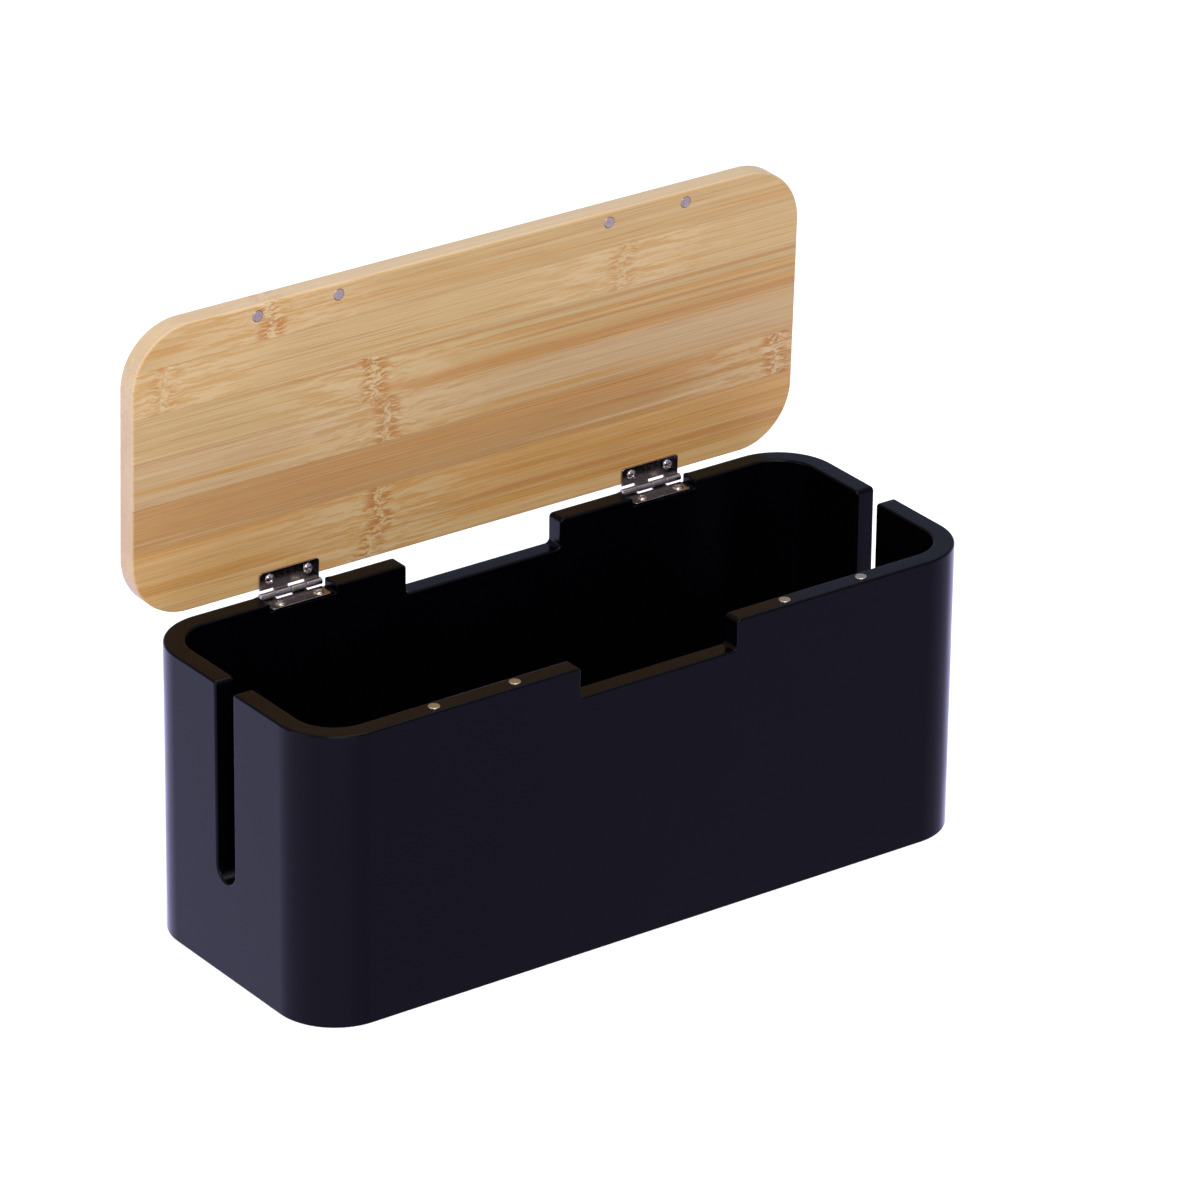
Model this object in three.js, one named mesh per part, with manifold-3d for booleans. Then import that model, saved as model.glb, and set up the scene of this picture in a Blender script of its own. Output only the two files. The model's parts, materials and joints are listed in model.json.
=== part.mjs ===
// Cable box: a black body with rounded corners, a cable slot in each end, a notch in the front and
// rear rims, and a bamboo lid that turns on two small butt hinges and is held shut by magnets.
//
// Millimetres. X runs along the box, -Y is its front, +Z is up, and the origin is the centre of the
// underside. The lid is drawn standing open, just short of upright.

import * as THREE from "three";
import { mergeVertices } from "three/addons/utils/BufferGeometryUtils.js";
import Module from "manifold-3d";

// Body
const BODY_LENGTH = 330;
const BODY_DEPTH = 128.4;
const BODY_HEIGHT = 129.3;
const WALL = 9;
const CORNER_RADIUS = 26.5;
const BASE_THICKNESS = 4;

// Rim notches, each sawn slightly off the middle
const NOTCH_WIDTH = 77.5;
const NOTCH_DEPTH = 13.4;
const NOTCH_CORNER = 2;
const FRONT_NOTCH_X = 1.3;
const REAR_NOTCH_X = -1.3;

// End slots for cables, half round at the bottom
const SLOT_WIDTH = 12.6;
const SLOT_BOTTOM = 42.4;
const SLOT_Y = 1.1;

// Lid
const LID_LENGTH = 330.6;
const LID_DEPTH = 127.6;
const LID_THICKNESS = 9.8;
const LID_EDGE_ROUND = 1;
const LID_OPEN_ANGLE = THREE.MathUtils.degToRad(88.4);

// Hinges: the axis lies behind the rear face, midway between the two wood faces when shut
const HINGE_X = 90.8;
const HINGE_LENGTH = 30;
const LEAF_REACH = 9.9;
const LEAF_THICKNESS = 0.8;
const LEAF_CORNER = 1.5;
const LEAF_SIDE_SET_IN = 1;
const BARREL_RADIUS = 1.5;
const BARREL_GAP = 0.3;
const PIN_RADIUS = 0.6;
const BORE_RADIUS = 0.8;
const AXIS_TO_WOOD = 2.3;
const AXIS_TO_LID_EDGE = 2.3;
const RECESS_DEPTH = 3.8;
const RECESS_LENGTH = 32.5;
const RECESS_MOUTH_CORNER = 0.8;
const RECESS_FLOOR_CORNER = 0.4;
const AXIS_Y = 65.12;
const AXIS_Z = BODY_HEIGHT - RECESS_DEPTH + AXIS_TO_WOOD;

// Hinge screws
const SCREW_SPACING = 18.6;
const SCREW_FROM_AXIS = 6.5;
const SCREW_LENGTH = 8;
const SCREW_TIP = 2;
const SHANK_RADIUS = 1;
const HEAD_RADIUS = 2.2;
const HEAD_DOME = 0.95;
const CROSS_LENGTH = 2.4;
const CROSS_WIDTH = 0.5;
const CROSS_DEPTH = 0.6;

// Magnets
const MAGNET_XS = [-106, -67, 67, 106];
const MAGNET_RADIUS = 2.5;
const MAGNET_HEIGHT = 3;
const MAGNET_CHAMFER = 0.25;
const MAGNET_PROUD = 0.5;
const MAGNET_Y = -(BODY_DEPTH - WALL) / 2;

// Clearances between pieces
const FIT = 0.2;
const DRILL_SPARE = 0.3;

// Smoothness: an arc in an outline takes twice these steps, a turned piece takes ROUND_STEPS
const CORNER_STEPS = 8;
const OPENING_STEPS = 3;
const BARREL_STEPS = 9;
const ROUND_STEPS = 20;

const MATERIALS = {
  body: { color: "#1b1a22", roughness: 0.45, metalness: 0 },
  bamboo: { color: "#d2ab75", roughness: 0.5, metalness: 0 },
  hinge: { color: "#6e6660", roughness: 0.35, metalness: 0.9 },
  screw: { color: "#8f877d", roughness: 0.3, metalness: 0.9 },
  magnet: { color: "#a9a9b0", roughness: 0.3, metalness: 0.9 },
};

const wasm = await Module();
wasm.setup();

// ---- Helpers -------------------------------------------------------------------------------

function solidFrom(geometry) {
  const bare = geometry.clone();
  bare.deleteAttribute("normal");
  bare.deleteAttribute("uv");
  const merged = mergeVertices(bare, 1e-5);
  const mesh = new wasm.Mesh({
    numProp: 3,
    vertProperties: Float32Array.from(merged.attributes.position.array),
    triVerts: Uint32Array.from(merged.index.array),
  });
  return new wasm.Manifold(mesh);
}

function geometryFrom(solid) {
  const mesh = solid.getMesh();
  const geometry = new THREE.BufferGeometry();
  geometry.setAttribute("position", new THREE.BufferAttribute(mesh.vertProperties, 3));
  geometry.setIndex(new THREE.BufferAttribute(mesh.triVerts, 1));
  geometry.computeVertexNormals();
  return geometry;
}

function cutAll(solid, cutters) {
  return cutters.reduce((left, cutter) => left.subtract(cutter), solid);
}

function piece(name, solid, look) {
  const mesh = new THREE.Mesh(geometryFrom(solid), new THREE.MeshStandardMaterial(MATERIALS[look]));
  mesh.name = name;
  return mesh;
}

function roundedRectangle(width, depth, radius) {
  const x = width / 2 - radius;
  const y = depth / 2 - radius;
  const shape = new THREE.Shape();
  shape.absarc(x, y, radius, 0, Math.PI / 2);
  shape.absarc(-x, y, radius, Math.PI / 2, Math.PI);
  shape.absarc(-x, -y, radius, Math.PI, 1.5 * Math.PI);
  shape.absarc(x, -y, radius, 1.5 * Math.PI, 2 * Math.PI);
  shape.closePath();
  return shape;
}

function prism(shape, bottom, height, steps) {
  const settings = { depth: height, bevelEnabled: false, curveSegments: steps };
  return new THREE.ExtrudeGeometry(shape, settings).translate(0, 0, bottom);
}

// A turned piece about Z, from a profile of [radius, height] points that starts and ends on the axis.
function turned(profile) {
  const points = profile.map(([radius, height]) => new THREE.Vector2(radius, height));
  return new THREE.LatheGeometry(points, ROUND_STEPS).rotateX(Math.PI / 2);
}

function rod(radius, bottom, top) {
  return turned([[0, bottom], [radius, bottom], [radius, top], [0, top]]);
}

// ---- Body ----------------------------------------------------------------------------------

// The outline of an opening in the rim, seen along the wall's thickness: its mouth corners are
// rounded outwards and its floor corners inwards.
function rimOpeningOutline(width, floor, mouthCorner, floorCorner) {
  const side = width / 2;
  const above = BODY_HEIGHT + 1;
  const shape = new THREE.Shape();
  shape.moveTo(-side - mouthCorner, above);
  shape.absarc(-side - mouthCorner, BODY_HEIGHT - mouthCorner, mouthCorner, Math.PI / 2, 0, true);
  shape.absarc(-side + floorCorner, floor + floorCorner, floorCorner, Math.PI, 1.5 * Math.PI);
  shape.absarc(side - floorCorner, floor + floorCorner, floorCorner, 1.5 * Math.PI, 2 * Math.PI);
  shape.absarc(side + mouthCorner, BODY_HEIGHT - mouthCorner, mouthCorner, Math.PI, Math.PI / 2, true);
  shape.lineTo(side + mouthCorner, above);
  shape.closePath();
  return shape;
}

// Cuts an opening outline through a front or rear wall centred at wallY.
function throughLongWall(outline, x, wallY) {
  const length = WALL + 2;
  return prism(outline, -length / 2, length, OPENING_STEPS).rotateX(Math.PI / 2).translate(x, wallY, 0);
}

// Cuts an opening outline through an end wall centred at wallX.
function throughEndWall(outline, wallX, y) {
  const length = WALL + 2;
  const upright = prism(outline, -length / 2, length, OPENING_STEPS).rotateX(Math.PI / 2);
  return upright.rotateZ(Math.PI / 2).translate(wallX, y, 0);
}

function rimOpenings() {
  const longWallY = (BODY_DEPTH - WALL) / 2;
  const endWallX = (BODY_LENGTH - WALL) / 2;
  const notchFloor = BODY_HEIGHT - NOTCH_DEPTH;
  const notch = rimOpeningOutline(NOTCH_WIDTH, notchFloor, NOTCH_CORNER, NOTCH_CORNER);
  const slot = rimOpeningOutline(SLOT_WIDTH, SLOT_BOTTOM, NOTCH_CORNER, SLOT_WIDTH / 2);
  const recessFloor = BODY_HEIGHT - RECESS_DEPTH;
  const recess = rimOpeningOutline(RECESS_LENGTH, recessFloor, RECESS_MOUTH_CORNER, RECESS_FLOOR_CORNER);
  return [
    throughLongWall(notch, FRONT_NOTCH_X, -longWallY),
    throughLongWall(notch, REAR_NOTCH_X, longWallY),
    throughEndWall(slot, -endWallX, SLOT_Y),
    throughEndWall(slot, endWallX, SLOT_Y),
    throughLongWall(recess, -HINGE_X, longWallY),
    throughLongWall(recess, HINGE_X, longWallY),
  ];
}

function bodyDrillings() {
  const cutters = [];
  for (const x of MAGNET_XS) {
    const pocketFloor = BODY_HEIGHT + MAGNET_PROUD - MAGNET_HEIGHT - DRILL_SPARE;
    cutters.push(rod(MAGNET_RADIUS + FIT, pocketFloor, BODY_HEIGHT + 1).translate(x, MAGNET_Y, 0));
  }
  const screwTipZ = AXIS_Z - leafInnerFace() - SCREW_LENGTH;
  for (const x of screwXs()) {
    const hole = rod(SHANK_RADIUS + FIT, screwTipZ - DRILL_SPARE, BODY_HEIGHT);
    cutters.push(hole.translate(x, AXIS_Y - SCREW_FROM_AXIS, 0));
  }
  return cutters;
}

function bodyShell() {
  const outside = roundedRectangle(BODY_LENGTH, BODY_DEPTH, CORNER_RADIUS);
  const inside = roundedRectangle(BODY_LENGTH - 2 * WALL, BODY_DEPTH - 2 * WALL, CORNER_RADIUS - WALL);
  const cavity = prism(inside, -1, BODY_HEIGHT + 2, CORNER_STEPS);
  const cutters = [cavity, ...rimOpenings(), ...bodyDrillings()];
  const block = prism(outside, 0, BODY_HEIGHT, CORNER_STEPS);
  return cutAll(solidFrom(block), cutters.map(solidFrom));
}

function basePanel() {
  const length = BODY_LENGTH - 2 * (WALL + FIT);
  const depth = BODY_DEPTH - 2 * (WALL + FIT);
  const outline = roundedRectangle(length, depth, CORNER_RADIUS - WALL - FIT);
  return solidFrom(prism(outline, 0, BASE_THICKNESS, CORNER_STEPS));
}

// ---- Hinges --------------------------------------------------------------------------------
// A leaf is drawn about its own axis: it reaches out along +X, its wood side faces -Y, and the
// barrel runs along Z. Both leaves of a hinge are the same piece, turned to face each other.

function leafOuterFace() {
  return AXIS_TO_WOOD - FIT;
}

function leafInnerFace() {
  return leafOuterFace() - LEAF_THICKNESS;
}

function screwXs() {
  const xs = [];
  for (const hinge of [-HINGE_X, HINGE_X]) {
    xs.push(hinge - SCREW_SPACING / 2, hinge + SCREW_SPACING / 2);
  }
  return xs;
}

// The flat plate, from just clear of the barrel out to its two rounded corners.
function leafPlate() {
  const near = BARREL_RADIUS + BARREL_GAP;
  const far = LEAF_REACH - LEAF_CORNER;
  const low = -HINGE_LENGTH / 2 + LEAF_SIDE_SET_IN;
  const high = HINGE_LENGTH / 2;
  const shape = new THREE.Shape();
  shape.moveTo(near, -low);
  shape.lineTo(near, -high);
  shape.absarc(far, -high + LEAF_CORNER, LEAF_CORNER, -Math.PI / 2, 0);
  shape.absarc(far, -low - LEAF_CORNER, LEAF_CORNER, 0, Math.PI / 2);
  shape.closePath();
  const plate = prism(shape, 0, LEAF_THICKNESS, OPENING_STEPS);
  return plate.rotateX(Math.PI / 2).translate(0, -leafInnerFace(), 0);
}

// One knuckle with the web that joins it to the plate, as a profile run along the barrel.
function knuckle(start, end) {
  const webStart = THREE.MathUtils.degToRad(-95);
  const webEnd = THREE.MathUtils.degToRad(-30);
  const near = BARREL_RADIUS + BARREL_GAP + LEAF_THICKNESS;
  const shape = new THREE.Shape();
  shape.moveTo(near, -leafOuterFace());
  shape.lineTo(LEAF_THICKNESS / 2, -leafOuterFace());
  shape.absarc(0, 0, BARREL_RADIUS, webStart, webEnd, true);
  shape.lineTo(near, -leafInnerFace());
  shape.closePath();
  const bore = new THREE.Path();
  bore.absarc(0, 0, BORE_RADIUS, 0, 2 * Math.PI);
  shape.holes.push(bore);
  return prism(shape, start, end - start, BARREL_STEPS);
}

function countersunkHole(along) {
  const inner = HEAD_RADIUS + FIT;
  const outer = SHANK_RADIUS + FIT;
  const profile = [[0, -LEAF_THICKNESS - 1], [outer, -LEAF_THICKNESS - 1], [outer, -LEAF_THICKNESS], [inner, 0]];
  const hole = turned([...profile, [inner, 1], [0, 1]]).rotateX(-Math.PI / 2);
  return hole.translate(SCREW_FROM_AXIS, -leafInnerFace(), along);
}

function hingeLeaf() {
  const pitch = HINGE_LENGTH / 4;
  const clear = BARREL_GAP / 2;
  const knuckles = [
    knuckle(-pitch + clear, -clear),
    knuckle(pitch + clear, HINGE_LENGTH / 2),
  ];
  const holes = [countersunkHole(-SCREW_SPACING / 2), countersunkHole(SCREW_SPACING / 2)];
  const whole = knuckles.reduce((sum, next) => sum.add(solidFrom(next)), solidFrom(leafPlate()));
  return cutAll(whole, holes.map(solidFrom));
}

function hingePin() {
  const half = HINGE_LENGTH / 2 - BARREL_GAP;
  return solidFrom(rod(PIN_RADIUS, -half, half).rotateY(Math.PI / 2));
}

// An oval-head screw standing on its tip, with z = 0 at the face of the leaf that it holds.
function screw() {
  const sphere = (HEAD_RADIUS ** 2 + HEAD_DOME ** 2) / (2 * HEAD_DOME);
  const profile = [[0, -SCREW_LENGTH], [SHANK_RADIUS, SCREW_TIP - SCREW_LENGTH], [SHANK_RADIUS, -LEAF_THICKNESS]];
  const domeSteps = 5;
  for (let i = 0; i < domeSteps; i += 1) {
    const radius = HEAD_RADIUS * (1 - i / domeSteps);
    profile.push([radius, Math.sqrt(sphere ** 2 - radius ** 2) - sphere + HEAD_DOME]);
  }
  profile.push([0, HEAD_DOME]);
  const arm = new THREE.BoxGeometry(CROSS_LENGTH, CROSS_WIDTH, 2 * CROSS_DEPTH).translate(0, 0, HEAD_DOME);
  const cross = [arm, arm.clone().rotateZ(Math.PI / 2)];
  return cutAll(solidFrom(turned(profile)), cross.map(solidFrom));
}

// ---- Magnets -------------------------------------------------------------------------------

function magnet() {
  const rim = MAGNET_RADIUS - MAGNET_CHAMFER;
  const side = MAGNET_HEIGHT / 2 - MAGNET_CHAMFER;
  const top = MAGNET_HEIGHT / 2;
  const profile = [[0, -top], [rim, -top], [MAGNET_RADIUS, -side], [MAGNET_RADIUS, side], [rim, top], [0, top]];
  return solidFrom(turned(profile));
}

// ---- Lid -----------------------------------------------------------------------------------
// The lid and what is screwed to it are drawn about the hinge axis as they lie when shut.

function lidBoard() {
  const inset = 2 * LID_EDGE_ROUND;
  const radius = CORNER_RADIUS - LID_EDGE_ROUND;
  const outline = roundedRectangle(LID_LENGTH - inset, LID_DEPTH - inset, radius);
  const board = new THREE.ExtrudeGeometry(outline, {
    depth: LID_THICKNESS - inset,
    bevelThickness: LID_EDGE_ROUND,
    bevelSize: LID_EDGE_ROUND,
    bevelSegments: 3,
    curveSegments: CORNER_STEPS,
  });
  const middleY = -AXIS_TO_LID_EDGE - LID_DEPTH / 2;
  board.translate(0, middleY, AXIS_TO_WOOD + LID_EDGE_ROUND);

  const cutters = [];
  for (const x of MAGNET_XS) {
    const pocket = rod(MAGNET_RADIUS + FIT, 0, AXIS_TO_WOOD + MAGNET_HEIGHT + DRILL_SPARE);
    cutters.push(pocket.translate(x, MAGNET_Y - AXIS_Y, 0));
  }
  const tip = leafInnerFace() + SCREW_LENGTH + DRILL_SPARE;
  for (const x of screwXs()) {
    cutters.push(rod(SHANK_RADIUS + FIT, 0, tip).translate(x, -SCREW_FROM_AXIS, 0));
  }
  return cutAll(solidFrom(board), cutters.map(solidFrom));
}

// ---- Assembly ------------------------------------------------------------------------------

const box = new THREE.Group();
box.add(piece("body_shell", bodyShell(), "body"));
box.add(piece("base_panel", basePanel(), "body"));

const lid = new THREE.Group();
lid.position.set(0, AXIS_Y, AXIS_Z);
lid.rotation.x = -LID_OPEN_ANGLE;
lid.add(piece("lid_board", lidBoard(), "bamboo"));
box.add(lid);

MAGNET_XS.forEach((x, index) => {
  const inRim = piece(`rim_magnet_${index + 1}`, magnet(), "magnet");
  inRim.position.set(x, MAGNET_Y, BODY_HEIGHT + MAGNET_PROUD - MAGNET_HEIGHT / 2);
  box.add(inRim);

  const inLid = piece(`lid_magnet_${index + 1}`, magnet(), "magnet");
  inLid.position.set(x, MAGNET_Y - AXIS_Y, AXIS_TO_WOOD + MAGNET_HEIGHT / 2);
  lid.add(inLid);
});

// Turns a leaf from its own axes to lie along the box, wood side down or wood side up.
const WOOD_SIDE_DOWN = new THREE.Matrix4().makeBasis(
  new THREE.Vector3(0, -1, 0),
  new THREE.Vector3(0, 0, 1),
  new THREE.Vector3(-1, 0, 0),
);
const WOOD_SIDE_UP = new THREE.Matrix4().makeBasis(
  new THREE.Vector3(0, -1, 0),
  new THREE.Vector3(0, 0, -1),
  new THREE.Vector3(1, 0, 0),
);

for (const [side, hingeX] of [["left", -HINGE_X], ["right", HINGE_X]]) {
  const bodyLeaf = piece(`${side}_hinge_body_leaf`, hingeLeaf(), "hinge");
  bodyLeaf.quaternion.setFromRotationMatrix(WOOD_SIDE_DOWN);
  bodyLeaf.position.set(hingeX, AXIS_Y, AXIS_Z);
  box.add(bodyLeaf);

  const lidLeaf = piece(`${side}_hinge_lid_leaf`, hingeLeaf(), "hinge");
  lidLeaf.quaternion.setFromRotationMatrix(WOOD_SIDE_UP);
  lidLeaf.position.set(hingeX, 0, 0);
  lid.add(lidLeaf);

  const pin = piece(`${side}_hinge_pin`, hingePin(), "screw");
  pin.position.set(hingeX, AXIS_Y, AXIS_Z);
  box.add(pin);

  [-SCREW_SPACING / 2, SCREW_SPACING / 2].forEach((offset, index) => {
    const bodyScrew = piece(`${side}_hinge_body_screw_${index + 1}`, screw(), "screw");
    bodyScrew.position.set(hingeX + offset, AXIS_Y - SCREW_FROM_AXIS, AXIS_Z - leafInnerFace());
    box.add(bodyScrew);

    const lidScrew = piece(`${side}_hinge_lid_screw_${index + 1}`, screw(), "screw");
    lidScrew.rotation.x = Math.PI;
    lidScrew.position.set(hingeX + offset, -SCREW_FROM_AXIS, leafInnerFace());
    lid.add(lidScrew);
  });
}

export default box;
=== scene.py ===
"""Cable box: fine meshes, materials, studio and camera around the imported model.

Shapes are drawn in millimetres and scaled to metres as each piece is made. The body is drawn in the
row frame. The lid and what is screwed to it are drawn about the hinge axis, as they lie when shut.
"""

import json
import math

import bmesh
import bpy
from mathutils import Matrix, Vector


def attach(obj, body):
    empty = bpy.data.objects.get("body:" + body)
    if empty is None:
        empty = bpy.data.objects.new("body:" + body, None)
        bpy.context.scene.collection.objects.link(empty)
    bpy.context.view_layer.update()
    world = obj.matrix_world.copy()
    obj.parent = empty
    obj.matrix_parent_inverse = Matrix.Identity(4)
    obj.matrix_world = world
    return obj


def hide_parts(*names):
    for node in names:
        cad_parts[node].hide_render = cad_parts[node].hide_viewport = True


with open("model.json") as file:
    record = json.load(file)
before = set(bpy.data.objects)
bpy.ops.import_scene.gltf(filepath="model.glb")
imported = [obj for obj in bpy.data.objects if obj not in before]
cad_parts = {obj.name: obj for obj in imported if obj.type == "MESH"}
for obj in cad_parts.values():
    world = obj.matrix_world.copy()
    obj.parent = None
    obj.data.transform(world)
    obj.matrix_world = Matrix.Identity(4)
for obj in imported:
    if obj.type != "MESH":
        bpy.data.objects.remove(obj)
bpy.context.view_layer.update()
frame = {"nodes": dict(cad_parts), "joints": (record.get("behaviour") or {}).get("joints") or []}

MM = 0.001
DRAWN = "drawn_mm"

# Sizes that the boxes of the nodes don't give, in millimetres. Those of the studio are in metres
FIT = 0.2
CORNER_RADIUS = 26.5

# Openings in the rim
NOTCH_WIDTH = 77.5
NOTCH_DEPTH = 13.4
NOTCH_CORNER = 2.0
FRONT_NOTCH_X = 1.3
REAR_NOTCH_X = -1.3
SLOT_WIDTH = 12.6
SLOT_BOTTOM = 42.4
SLOT_Y = 1.1
RECESS_LENGTH = 32.5
RECESS_DEPTH = 3.8
RECESS_MOUTH_CORNER = 0.8
RECESS_FLOOR_CORNER = 0.4

# Edge roundings
RIM_ROUND = 1.0
RECESS_ROUND = 0.35
UNDERSIDE_ROUND = 0.35
PANEL_ROUND = 0.4
LID_ROUND = 1.0
LEAF_ROUND = 0.12
HEAD_ROUND = 0.05
MAGNET_ROUND = 0.3

# Hinges
LEAF_THICKNESS = 0.8
LEAF_CORNER = 1.5
LEAF_SIDE_SET_IN = 1.0
BARREL_RADIUS = 1.5
BARREL_TO_PLATE = 2.1
KNUCKLE_GAP = 0.5
PIN_RADIUS = 0.6
PIN_DOME = 0.3

# Screws
SHANK_RADIUS = 1.0
SCREW_TIP = 2.0
SCREW_SPACING = 18.6
SCREW_FROM_AXIS = 6.5
HEAD_RADIUS = 2.2
HEAD_DOME = 0.95
CROSS_LENGTH = 2.5
CROSS_WIDTH = 0.6
CROSS_DEPTH = 0.75
DRILL_SPARE = 0.3

# Magnets: their numbers, the gap round each one, and how far its pocket's mouth is eased
MAGNETS = range(1, 5)
MAGNET_FIT = 0.06
POCKET_EASE = 0.12

# Smoothness: pieces in each kind of curve, the least turn in degrees that is rounded, and the
# shortest edge that is kept
CORNER_STEPS = 24
OPENING_STEPS = 8
ROUND_STEPS = 48
ROUNDING_STEPS = 4
BEND_STEPS = 8
BARREL_STEPS = 29
DOME_STEPS = 10
BEVEL_SEGMENTS = 2
LEAST_TURN = 40
SMALLEST_EDGE = 0.004


# ---- Places taken from the frame ---------------------------------------------------------------

IN_PLACE = Matrix.Identity(4)


def box_mm(node, placement=IN_PLACE):
    """A CAD node's lowest and highest corner in millimetres, in the axes of a placement."""
    into = placement.inverted()
    points = [(into @ vertex.co) / MM for vertex in frame["nodes"][node].data.vertices]
    low = Vector([min(point[i] for point in points) for i in range(3)])
    high = Vector([max(point[i] for point in points) for i in range(3)])
    return low, high


hinge_joint = frame["joints"][0]
AXIS = Vector(hinge_joint["pos_m"])
OPEN_ANGLE = math.radians(-hinge_joint["range_deg"][0])
LID_PLACE = Matrix.Translation(AXIS) @ Matrix.Rotation(-OPEN_ANGLE, 4, "X")

SHELL_LOW, SHELL_HIGH = box_mm("body_shell")
PANEL_LOW, PANEL_HIGH = box_mm("base_panel")
LID_LOW, LID_HIGH = box_mm("lid_board", LID_PLACE)
HEIGHT = SHELL_HIGH.z
WALL = PANEL_LOW.x - SHELL_LOW.x - FIT
WOOD_FACE = LID_LOW.z

LEAF_LOW, LEAF_HIGH = box_mm("left_hinge_body_leaf")
HINGE_LENGTH = LEAF_HIGH.x - LEAF_LOW.x
LEAF_REACH = AXIS.y / MM - LEAF_LOW.y
LEAF_FACE = WOOD_FACE - FIT - LEAF_THICKNESS


def hinge_middle(side):
    """Where a hinge's middle lies along X."""
    low, high = box_mm(f"{side}_hinge_body_leaf")
    return (low.x + high.x) / 2


SIDES = ("left", "right")
HINGE_XS = [hinge_middle(side) for side in SIDES]
SCREW_OFFSETS = (-SCREW_SPACING / 2, SCREW_SPACING / 2)
SCREW_XS = [x + offset for x in HINGE_XS for offset in SCREW_OFFSETS]


# ---- Outlines and solids -----------------------------------------------------------------------


def arc(x, y, radius, start, end, steps):
    """Points of an arc with both its ends, as (x, y, direction from its centre in radians)."""
    points = []
    for i in range(steps + 1):
        angle = math.radians(start + (end - start) * i / steps)
        points.append((x + radius * math.cos(angle), y + radius * math.sin(angle), angle))
    return points


def mesh_object(name, solid):
    """An object from a bmesh drawn in millimetres."""
    bmesh.ops.remove_doubles(solid, verts=solid.verts, dist=1e-4)
    bmesh.ops.recalc_face_normals(solid, faces=solid.faces)
    mesh = bpy.data.meshes.new(name)
    solid.to_mesh(mesh)
    solid.free()
    made = bpy.data.objects.new(name, mesh)
    bpy.context.scene.collection.objects.link(made)
    return made


def apply_modifiers(piece):
    """Makes the modifiers' result the piece's own mesh."""
    bpy.context.view_layer.update()
    evaluated = piece.evaluated_get(bpy.context.evaluated_depsgraph_get())
    result = bpy.data.meshes.new_from_object(evaluated)
    piece.modifiers.clear()
    piece.data = result


def cut(piece, cutter):
    """Takes the cutter's shape out of the piece, and the cutter out of the scene."""
    difference = piece.modifiers.new("cut", "BOOLEAN")
    difference.operation = "DIFFERENCE"
    difference.solver = "EXACT"
    difference.object = cutter
    apply_modifiers(piece)
    bpy.data.objects.remove(cutter)


def round_edges(piece, width):
    """Rounds each edge that turns sharply, then clears what the rounding left too small to see."""
    bevel = piece.modifiers.new("round", "BEVEL")
    bevel.width = width
    bevel.segments = BEVEL_SEGMENTS
    bevel.limit_method = "ANGLE"
    bevel.angle_limit = math.radians(LEAST_TURN)
    bevel.use_clamp_overlap = False
    apply_modifiers(piece)
    solid = bmesh.new()
    solid.from_mesh(piece.data)
    bmesh.ops.remove_doubles(solid, verts=solid.verts, dist=SMALLEST_EDGE)
    bmesh.ops.dissolve_degenerate(solid, edges=solid.edges, dist=SMALLEST_EDGE)
    solid.to_mesh(piece.data)
    solid.free()


def finish_piece(piece, place, body, node, slot):
    """Puts a piece in its place in metres, gives it its body and look, and hides the CAD node that
    it stands for.

    The millimetres that it was drawn in are kept on its points, for the materials to read.
    """
    drawn = piece.data.attributes.new(DRAWN, "FLOAT_VECTOR", "POINT")
    for point, vertex in zip(drawn.data, piece.data.vertices):
        point.vector = vertex.co
    piece.data.transform(place @ Matrix.Scale(MM, 4))
    for face in piece.data.polygons:
        face.use_smooth = True
    weighted = piece.modifiers.new("weighted normals", "WEIGHTED_NORMAL")
    weighted.keep_sharp = True
    weighted.weight = 80
    apply_modifiers(piece)
    piece.data.materials.clear()
    piece.data.materials.append(looks[slot])
    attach(piece, body)
    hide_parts(node)


def turned(solid, profile, centre=Vector((0, 0, 0))):
    """Adds a solid turned about a line along Z, from [radius, height] points.

    The points start and end on that line.
    """
    rings = []
    for radius, height in profile:
        if radius == 0:
            rings.append([solid.verts.new(centre + Vector((0, 0, height)))])
            continue
        ring = []
        for x, y, _ in arc(0, 0, radius, 0, 360, ROUND_STEPS)[:-1]:
            ring.append(solid.verts.new(centre + Vector((x, y, height))))
        rings.append(ring)
    for lower, upper in zip(rings, rings[1:]):
        for i in range(ROUND_STEPS):
            j = (i + 1) % ROUND_STEPS
            corners = [lower[i % len(lower)], lower[j % len(lower)]]
            corners += [upper[j % len(upper)], upper[i % len(upper)]]
            solid.faces.new(list(dict.fromkeys(corners)))


def rounded_slab(low, high, corner, rounding):
    """A board with rounded corners, its upper and lower edges rounded over."""
    solid = bmesh.new()
    section = []
    for _, z, angle in arc(0, low.z + rounding, rounding, -90, 0, ROUNDING_STEPS):
        section.append((rounding * (1 - math.cos(angle)), z))
    for _, z, angle in arc(0, high.z - rounding, rounding, 0, 90, ROUNDING_STEPS):
        section.append((rounding * (1 - math.cos(angle)), z))
    corners = [
        (high.x - corner, high.y - corner, 0),
        (low.x + corner, high.y - corner, 90),
        (low.x + corner, low.y + corner, 180),
        (high.x - corner, low.y + corner, 270),
    ]
    rings = []
    for inset, z in section:
        ring = []
        for x, y, start in corners:
            for px, py, _ in arc(x, y, corner - inset, start, start + 90, CORNER_STEPS):
                ring.append(solid.verts.new((px, py, z)))
        rings.append(ring)
    count = len(rings[0])
    for lower, upper in zip(rings, rings[1:]):
        for i in range(count):
            j = (i + 1) % count
            solid.faces.new([lower[i], lower[j], upper[j], upper[i]])
    solid.faces.new(rings[0])
    solid.faces.new(rings[-1])
    return solid


# ---- Body --------------------------------------------------------------------------------------
# The wall is a section carried round the box. A station is a point of the rim: its outer point in
# plan, the directions out of and along the wall, its height, the rim's own direction out of the
# material (along the wall, up), and how much its edges are rounded.


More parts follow.
